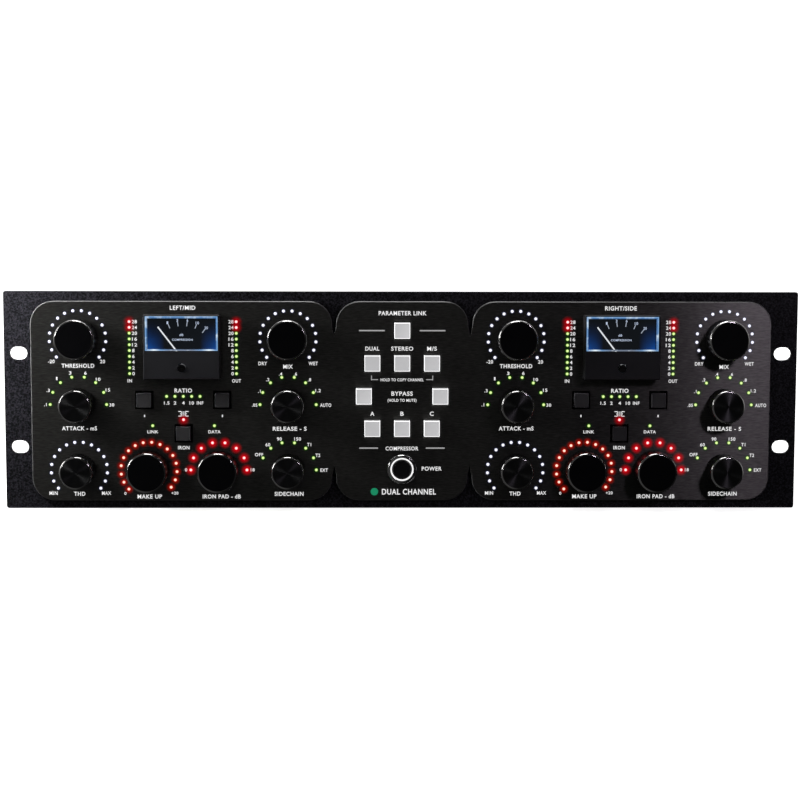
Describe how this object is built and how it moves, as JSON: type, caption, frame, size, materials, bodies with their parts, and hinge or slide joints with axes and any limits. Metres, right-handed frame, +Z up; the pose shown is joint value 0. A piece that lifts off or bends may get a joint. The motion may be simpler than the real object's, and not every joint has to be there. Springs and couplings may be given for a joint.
{
  "type": "rack compressor",
  "caption": "Rack-mount stereo compressor with ringed rotary knobs, square lit buttons and moving-needle meters on a raised faceplate.",
  "frame": {"origin": "middle of the object's box in X and Y, on the level of the front panel's lower edge", "axes": "+X to the right along the front panel, +Y from the front towards the rear, +Z up"},
  "size_m": [0.4826, 0.224, 0.1325],
  "materials": {
    "powder_black": "fine textured powder coat",
    "brushed_black": "black anodised, brushed along its length",
    "knob_black": "turned and black anodised, polished rim",
    "cap_white": "translucent light grey, lit from inside",
    "cap_black": "satin charcoal",
    "plastic_black": "satin black",
    "meter_black": "moulded black",
    "dial_blue": "printed dark blue dial, lit from its edges",
    "clear_window": "clear moulded window",
    "needle_white": "white lacquer",
    "steel_black": "black powder-coated steel sheet",
    "side_aluminium": "black anodised",
    "board_black": "black circuit board with its encoders and switches",
    "board_green": "green circuit board with its components",
    "transformer_can": "drawn metal can",
    "winding_yellow": "taped winding on a steel core",
    "connector_nickel": "satin nickel plate"
  },
  "bodies": {
    "chassis": {"front_panel": "powder_black", "faceplate": "brushed_black", "power_button_bezel": "plastic_black", "left_meter_housing": "meter_black", "left_meter_dial": "dial_blue", "left_meter_window": "clear_window", "right_meter_housing": "meter_black", "right_meter_dial": "dial_blue", "right_meter_window": "clear_window", "control_board": "board_black", "bottom_plate": "steel_black", "top_cover": "steel_black", "left_side_plate": "side_aluminium", "right_side_plate": "side_aluminium", "rear_panel": "steel_black", "audio_board": "board_green", "left_output_transformer": "transformer_can", "right_output_transformer": "transformer_can", "power_transformer": "winding_yellow", "left_input_connector": "connector_nickel", "right_input_connector": "connector_nickel", "left_output_connector": "connector_nickel", "right_output_connector": "connector_nickel", "mains_inlet": "plastic_black"},
    "left_threshold_knob": {"left_threshold_knob": "knob_black"},
    "left_mix_knob": {"left_mix_knob": "knob_black"},
    "left_attack_knob": {"left_attack_knob": "knob_black"},
    "left_release_knob": {"left_release_knob": "knob_black"},
    "left_thd_knob": {"left_thd_knob": "knob_black"},
    "left_make_up_knob": {"left_make_up_knob": "knob_black"},
    "left_iron_pad_knob": {"left_iron_pad_knob": "knob_black"},
    "left_sidechain_knob": {"left_sidechain_knob": "knob_black"},
    "right_threshold_knob": {"right_threshold_knob": "knob_black"},
    "right_mix_knob": {"right_mix_knob": "knob_black"},
    "right_attack_knob": {"right_attack_knob": "knob_black"},
    "right_release_knob": {"right_release_knob": "knob_black"},
    "right_thd_knob": {"right_thd_knob": "knob_black"},
    "right_make_up_knob": {"right_make_up_knob": "knob_black"},
    "right_iron_pad_knob": {"right_iron_pad_knob": "knob_black"},
    "right_sidechain_knob": {"right_sidechain_knob": "knob_black"},
    "left_ratio_down_button": {"left_ratio_down_button": "cap_black"},
    "left_ratio_up_button": {"left_ratio_up_button": "cap_black"},
    "left_iron_button": {"left_iron_button": "cap_black"},
    "right_ratio_down_button": {"right_ratio_down_button": "cap_black"},
    "right_ratio_up_button": {"right_ratio_up_button": "cap_black"},
    "right_iron_button": {"right_iron_button": "cap_black"},
    "parameter_link_button": {"parameter_link_button": "cap_white"},
    "dual_button": {"dual_button": "cap_white"},
    "stereo_button": {"stereo_button": "cap_white"},
    "mid_side_button": {"mid_side_button": "cap_white"},
    "left_bypass_button": {"left_bypass_button": "cap_white"},
    "right_bypass_button": {"right_bypass_button": "cap_white"},
    "memory_a_button": {"memory_a_button": "cap_white"},
    "memory_b_button": {"memory_b_button": "cap_white"},
    "memory_c_button": {"memory_c_button": "cap_white"},
    "power_button": {"power_button": "plastic_black"},
    "left_meter_needle": {"left_meter_needle": "needle_white"},
    "left_meter_adjust_screw": {"left_meter_adjust_screw": "meter_black"},
    "right_meter_needle": {"right_meter_needle": "needle_white"},
    "right_meter_adjust_screw": {"right_meter_adjust_screw": "meter_black"}
  },
  "joints": [
    {"name": "left_threshold_turn", "type": "hinge", "parent": "chassis", "child": "left_threshold_knob", "pos_m": [-0.19625, -0.11205, 0.10385], "axis": [0, 1, 0], "continuous": true},
    {"name": "left_mix_turn", "type": "hinge", "parent": "chassis", "child": "left_mix_knob", "pos_m": [-0.06925, -0.11205, 0.10385], "axis": [0, 1, 0], "continuous": true},
    {"name": "left_attack_turn", "type": "hinge", "parent": "chassis", "child": "left_attack_knob", "pos_m": [-0.19625, -0.11205, 0.06385], "axis": [0, 1, 0], "continuous": true},
    {"name": "left_release_turn", "type": "hinge", "parent": "chassis", "child": "left_release_knob", "pos_m": [-0.06925, -0.11205, 0.06385], "axis": [0, 1, 0], "continuous": true},
    {"name": "left_thd_turn", "type": "hinge", "parent": "chassis", "child": "left_thd_knob", "pos_m": [-0.19625, -0.11205, 0.02385], "axis": [0, 1, 0], "continuous": true},
    {"name": "left_make_up_turn", "type": "hinge", "parent": "chassis", "child": "left_make_up_knob", "pos_m": [-0.154, -0.11205, 0.02385], "axis": [0, 1, 0], "continuous": true},
    {"name": "left_iron_pad_turn", "type": "hinge", "parent": "chassis", "child": "left_iron_pad_knob", "pos_m": [-0.1115, -0.11205, 0.02385], "axis": [0, 1, 0], "continuous": true},
    {"name": "left_sidechain_turn", "type": "hinge", "parent": "chassis", "child": "left_sidechain_knob", "pos_m": [-0.06925, -0.11205, 0.02385], "axis": [0, 1, 0], "continuous": true},
    {"name": "right_threshold_turn", "type": "hinge", "parent": "chassis", "child": "right_threshold_knob", "pos_m": [0.06925, -0.11205, 0.10385], "axis": [0, 1, 0], "continuous": true},
    {"name": "right_mix_turn", "type": "hinge", "parent": "chassis", "child": "right_mix_knob", "pos_m": [0.19625, -0.11205, 0.10385], "axis": [0, 1, 0], "continuous": true},
    {"name": "right_attack_turn", "type": "hinge", "parent": "chassis", "child": "right_attack_knob", "pos_m": [0.06925, -0.11205, 0.06385], "axis": [0, 1, 0], "continuous": true},
    {"name": "right_release_turn", "type": "hinge", "parent": "chassis", "child": "right_release_knob", "pos_m": [0.19625, -0.11205, 0.06385], "axis": [0, 1, 0], "continuous": true},
    {"name": "right_thd_turn", "type": "hinge", "parent": "chassis", "child": "right_thd_knob", "pos_m": [0.06925, -0.11205, 0.02385], "axis": [0, 1, 0], "continuous": true},
    {"name": "right_make_up_turn", "type": "hinge", "parent": "chassis", "child": "right_make_up_knob", "pos_m": [0.1115, -0.11205, 0.02385], "axis": [0, 1, 0], "continuous": true},
    {"name": "right_iron_pad_turn", "type": "hinge", "parent": "chassis", "child": "right_iron_pad_knob", "pos_m": [0.154, -0.11205, 0.02385], "axis": [0, 1, 0], "continuous": true},
    {"name": "right_sidechain_turn", "type": "hinge", "parent": "chassis", "child": "right_sidechain_knob", "pos_m": [0.19625, -0.11205, 0.02385], "axis": [0, 1, 0], "continuous": true},
    {"name": "left_ratio_down_press", "type": "slide", "parent": "chassis", "child": "left_ratio_down_button", "axis": [0, 1, 0], "range_m": [0, 0.0015], "stiffness_N_per_m": 400},
    {"name": "left_ratio_up_press", "type": "slide", "parent": "chassis", "child": "left_ratio_up_button", "axis": [0, 1, 0], "range_m": [0, 0.0015], "stiffness_N_per_m": 400},
    {"name": "left_iron_press", "type": "slide", "parent": "chassis", "child": "left_iron_button", "axis": [0, 1, 0], "range_m": [0, 0.0015], "stiffness_N_per_m": 400},
    {"name": "right_ratio_down_press", "type": "slide", "parent": "chassis", "child": "right_ratio_down_button", "axis": [0, 1, 0], "range_m": [0, 0.0015], "stiffness_N_per_m": 400},
    {"name": "right_ratio_up_press", "type": "slide", "parent": "chassis", "child": "right_ratio_up_button", "axis": [0, 1, 0], "range_m": [0, 0.0015], "stiffness_N_per_m": 400},
    {"name": "right_iron_press", "type": "slide", "parent": "chassis", "child": "right_iron_button", "axis": [0, 1, 0], "range_m": [0, 0.0015], "stiffness_N_per_m": 400},
    {"name": "parameter_link_press", "type": "slide", "parent": "chassis", "child": "parameter_link_button", "axis": [0, 1, 0], "range_m": [0, 0.0015], "stiffness_N_per_m": 400},
    {"name": "dual_press", "type": "slide", "parent": "chassis", "child": "dual_button", "axis": [0, 1, 0], "range_m": [0, 0.0015], "stiffness_N_per_m": 400},
    {"name": "stereo_press", "type": "slide", "parent": "chassis", "child": "stereo_button", "axis": [0, 1, 0], "range_m": [0, 0.0015], "stiffness_N_per_m": 400},
    {"name": "mid_side_press", "type": "slide", "parent": "chassis", "child": "mid_side_button", "axis": [0, 1, 0], "range_m": [0, 0.0015], "stiffness_N_per_m": 400},
    {"name": "left_bypass_press", "type": "slide", "parent": "chassis", "child": "left_bypass_button", "axis": [0, 1, 0], "range_m": [0, 0.0015], "stiffness_N_per_m": 400},
    {"name": "right_bypass_press", "type": "slide", "parent": "chassis", "child": "right_bypass_button", "axis": [0, 1, 0], "range_m": [0, 0.0015], "stiffness_N_per_m": 400},
    {"name": "memory_a_press", "type": "slide", "parent": "chassis", "child": "memory_a_button", "axis": [0, 1, 0], "range_m": [0, 0.0015], "stiffness_N_per_m": 400},
    {"name": "memory_b_press", "type": "slide", "parent": "chassis", "child": "memory_b_button", "axis": [0, 1, 0], "range_m": [0, 0.0015], "stiffness_N_per_m": 400},
    {"name": "memory_c_press", "type": "slide", "parent": "chassis", "child": "memory_c_button", "axis": [0, 1, 0], "range_m": [0, 0.0015], "stiffness_N_per_m": 400},
    {"name": "power_press", "type": "slide", "parent": "chassis", "child": "power_button", "axis": [0, 1, 0], "range_m": [0, 0.0025], "stiffness_N_per_m": 500},
    {"name": "left_meter_needle_swing", "type": "hinge", "parent": "chassis", "child": "left_meter_needle", "pos_m": [-0.13275, -0.0992, 0.09225], "axis": [0, 1, 0], "range_deg": [0, 76], "stiffness_Nm_per_rad": 0.0001},
    {"name": "left_meter_adjust_turn", "type": "hinge", "parent": "chassis", "child": "left_meter_adjust_screw", "pos_m": [-0.13275, -0.10585, 0.08675], "axis": [0, 1, 0], "continuous": true},
    {"name": "right_meter_needle_swing", "type": "hinge", "parent": "chassis", "child": "right_meter_needle", "pos_m": [0.13275, -0.0992, 0.09225], "axis": [0, 1, 0], "range_deg": [0, 76], "stiffness_Nm_per_rad": 0.0001},
    {"name": "right_meter_adjust_turn", "type": "hinge", "parent": "chassis", "child": "right_meter_adjust_screw", "pos_m": [0.13275, -0.10585, 0.08675], "axis": [0, 1, 0], "continuous": true}
  ]
}
